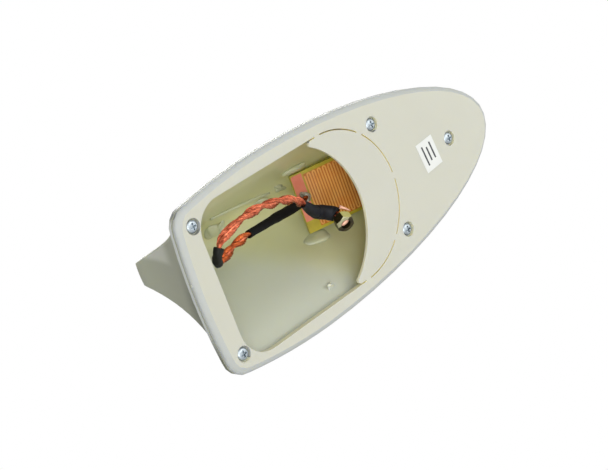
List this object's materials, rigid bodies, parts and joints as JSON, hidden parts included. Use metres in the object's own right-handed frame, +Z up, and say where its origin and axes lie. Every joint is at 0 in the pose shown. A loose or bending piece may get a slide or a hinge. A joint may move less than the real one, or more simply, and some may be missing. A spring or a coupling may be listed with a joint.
{
  "type": "shark fin aerial",
  "caption": "Tapered fin-shaped aerial housing on a flat base plate with a large opening, a small circuit board and a loose lead inside.",
  "frame": {"origin": "middle of the bounding box in plan, on the flat underside of the base plate", "axes": "+X to the low front nose, +Y to the car's left, +Z up to the fin tip"},
  "size_m": [0.1686, 0.075, 0.063],
  "materials": {
    "ivory_plate": "moulded, fine satin texture",
    "ivory_shell": "moulded, satin",
    "screw_steel": "bright zinc",
    "board_laminate": "bare glass-fibre board, amber green",
    "pad_copper": "copper, dull",
    "track_copper": "copper under clear varnish",
    "solder": "rough tin",
    "clear_glue": "cloudy hot-melt glue",
    "bare_copper": "bare copper strands",
    "shrink_black": "satin black",
    "boot_black": "satin black",
    "tinned_copper": "cut strands",
    "coupler_brass": "bright brass"
  },
  "bodies": {
    "root": {"base_plate": "ivory_plate", "fin_shell": "ivory_shell", "base_screws": "screw_steel", "circuit_board": "board_laminate", "solder_pad": "pad_copper", "meander_track": "track_copper", "solder_joint": "solder", "glue_bead_left": "clear_glue", "glue_bead_right": "clear_glue", "coupler_lead": "bare_copper", "long_sleeve": "shrink_black", "fold_sleeve": "shrink_black", "coupler_sleeve": "shrink_black", "coupler_boot": "boot_black", "strand_tail": "tinned_copper", "hex_coupler": "coupler_brass"}
  },
  "joints": []
}
